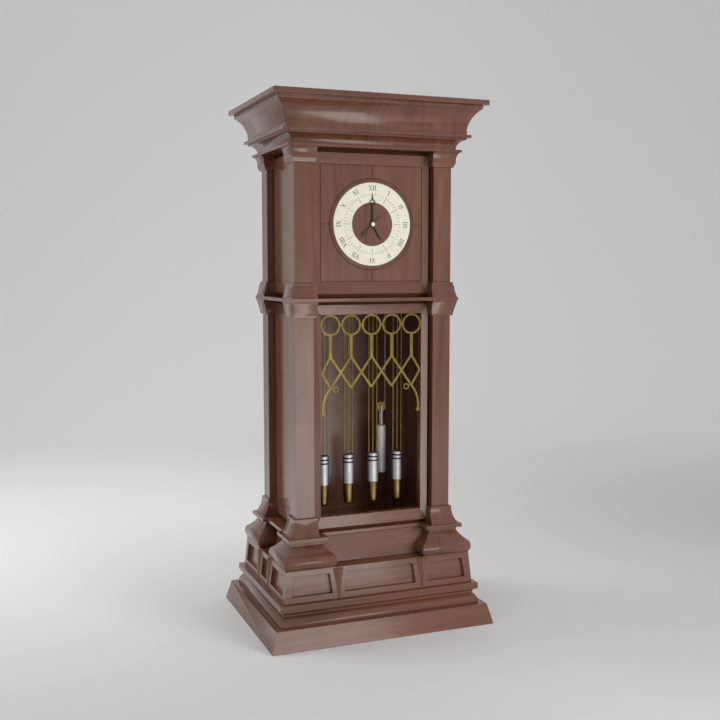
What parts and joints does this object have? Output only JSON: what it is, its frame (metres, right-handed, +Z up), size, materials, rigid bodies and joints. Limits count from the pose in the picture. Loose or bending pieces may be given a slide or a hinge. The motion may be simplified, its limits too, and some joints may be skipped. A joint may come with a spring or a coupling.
{
  "type": "grandfather clock",
  "caption": "Tall dark walnut hall clock: stepped pedestal, four corner posts, open trunk with brass fret and hanging weights, round dial in the hood, deep coved cornice.",
  "frame": {"origin": "on the floor, at the middle of the footprint", "axes": "+Z up, +X to the right seen from the front, the front faces -Y"},
  "size_m": [0.894, 0.6866, 2],
  "materials": {
    "walnut": "polished dark walnut",
    "pine": "plain stained softwood",
    "brass": "aged olive brass",
    "movement_brass": "lacquered brass",
    "line_brass": "brass wire line",
    "steel": "bright steel",
    "silver": "silvered, with black bands on the weights",
    "hand_black": "blackened steel",
    "hand_brown": "browned steel",
    "dial_cream": "matt cream enamel"
  },
  "bodies": {
    "case": {"back_boards": "pine", "base_moulding": "walnut", "base_plinth": "walnut", "belt_slab": "walnut", "chapter_ring": "dial_cream", "cornice_bed": "walnut", "cornice_crown": "walnut", "dial_drum": "walnut", "dial_panel": "walnut", "drive_line": "silver", "fret": "brass", "frieze_boards": "walnut", "hood_frame": "walnut", "lower_posts": "walnut", "movement_frame": "movement_brass", "pedestal_deck": "walnut", "pedestal_die": "walnut", "pedestal_ribs": "walnut", "pier_cushions": "walnut", "plinth_slab": "walnut", "seat_cleats": "pine", "seatboard": "pine", "side_frames": "walnut", "side_panels": "walnut", "sill_plate": "walnut", "suspension_cock": "movement_brass", "top_board": "walnut", "trunk_frame": "walnut", "upper_posts": "walnut", "weight_lines_1": "line_brass", "weight_lines_2": "line_brass", "weight_lines_3": "line_brass", "weight_lines_4": "line_brass"},
    "minute_group": {"minute_hand": "hand_black", "cannon_pinion": "movement_brass"},
    "hour_group": {"hour_hand": "hand_black", "hour_wheel": "movement_brass"},
    "motion_group": {"minute_wheel": "movement_brass"},
    "seconds_group": {"seconds_hand": "hand_brown", "centre_cap": "dial_cream", "seconds_arbor": "steel", "escape_wheel": "movement_brass"},
    "centre_group": {"centre_wheel": "movement_brass"},
    "third_group": {"third_wheel": "movement_brass"},
    "great_group": {"great_wheel": "movement_brass"},
    "anchor_group": {"anchor": "steel"},
    "pendulum_group": {"pendulum_rod": "steel", "pendulum_bob": "movement_brass", "rating_nut": "movement_brass"},
    "drive_group": {"drive_weight": "silver", "drive_stirrup": "silver"},
    "sheave_group": {"sheave": "brass"},
    "weight_group_1": {"weight_1": "silver", "weight_tip_1": "brass"},
    "weight_group_2": {"weight_2": "silver", "weight_tip_2": "brass"},
    "weight_group_3": {"weight_3": "silver", "weight_tip_3": "brass"},
    "weight_group_4": {"weight_4": "silver", "weight_tip_4": "brass"}
  },
  "joints": [
    {"name": "minute_hand_turn", "type": "hinge", "parent": "case", "child": "minute_group", "pos_m": [0, 0, 1.54], "axis": [0, 1, 0], "continuous": true},
    {"name": "hour_hand_turn", "type": "hinge", "parent": "case", "child": "hour_group", "pos_m": [0, 0, 1.54], "axis": [0, 1, 0], "continuous": true},
    {"name": "minute_wheel_turn", "type": "hinge", "parent": "case", "child": "motion_group", "pos_m": [0.02828, 0, 1.51172], "axis": [0, 1, 0], "continuous": true},
    {"name": "seconds_hand_turn", "type": "hinge", "parent": "case", "child": "seconds_group", "pos_m": [0, 0, 1.54], "axis": [0, 1, 0], "continuous": true},
    {"name": "centre_wheel_turn", "type": "hinge", "parent": "case", "child": "centre_group", "pos_m": [0, 0, 1.54], "axis": [0, 1, 0], "continuous": true},
    {"name": "third_wheel_turn", "type": "hinge", "parent": "case", "child": "third_group", "pos_m": [-0.036, 0, 1.54], "axis": [0, 1, 0], "continuous": true},
    {"name": "great_wheel_turn", "type": "hinge", "parent": "case", "child": "great_group", "pos_m": [0, 0, 1.4905], "axis": [0, 1, 0], "continuous": true},
    {"name": "pendulum_swing", "type": "hinge", "parent": "case", "child": "pendulum_group", "pos_m": [0, -0.011, 1.576], "axis": [0, 1, 0], "range_deg": [-3, 3]},
    {"name": "anchor_swing", "type": "hinge", "parent": "case", "child": "anchor_group", "pos_m": [0, -0.011, 1.576], "axis": [0, 1, 0], "range_deg": [-3, 3]},
    {"name": "weight_1_lift", "type": "slide", "parent": "case", "child": "weight_group_1", "axis": [0, 0, 1], "range_m": [0, 0.45], "deforming": ["weight_lines_1"]},
    {"name": "weight_2_lift", "type": "slide", "parent": "case", "child": "weight_group_2", "axis": [0, 0, 1], "range_m": [0, 0.45], "deforming": ["weight_lines_2"]},
    {"name": "weight_3_lift", "type": "slide", "parent": "case", "child": "weight_group_3", "axis": [0, 0, 1], "range_m": [0, 0.45], "deforming": ["weight_lines_3"]},
    {"name": "weight_4_lift", "type": "slide", "parent": "case", "child": "weight_group_4", "axis": [0, 0, 1], "range_m": [0, 0.45], "deforming": ["weight_lines_4"]},
    {"name": "drive_weight_lift", "type": "slide", "parent": "case", "child": "drive_group", "axis": [0, 0, 1], "range_m": [0, 0.4], "deforming": ["drive_line"]},
    {"name": "sheave_turn", "type": "hinge", "parent": "drive_group", "child": "sheave_group", "pos_m": [0.1279, 0.035, 0.819], "axis": [0, 1, 0], "range_deg": [-1315, 5]}
  ],
  "couplings": [
    {"joint": "hour_hand_turn", "follows": "minute_hand_turn", "ratio": 0.083333},
    {"joint": "minute_wheel_turn", "follows": "minute_hand_turn", "ratio": -0.33333},
    {"joint": "centre_wheel_turn", "follows": "seconds_hand_turn", "ratio": 0.016667},
    {"joint": "third_wheel_turn", "follows": "seconds_hand_turn", "ratio": -0.13333},
    {"joint": "great_wheel_turn", "follows": "seconds_hand_turn", "ratio": -0.0020833},
    {"joint": "anchor_swing", "follows": "pendulum_swing", "ratio": 1},
    {"joint": "sheave_turn", "follows": "drive_weight_lift", "rad_per_m": -57.143}
  ]
}
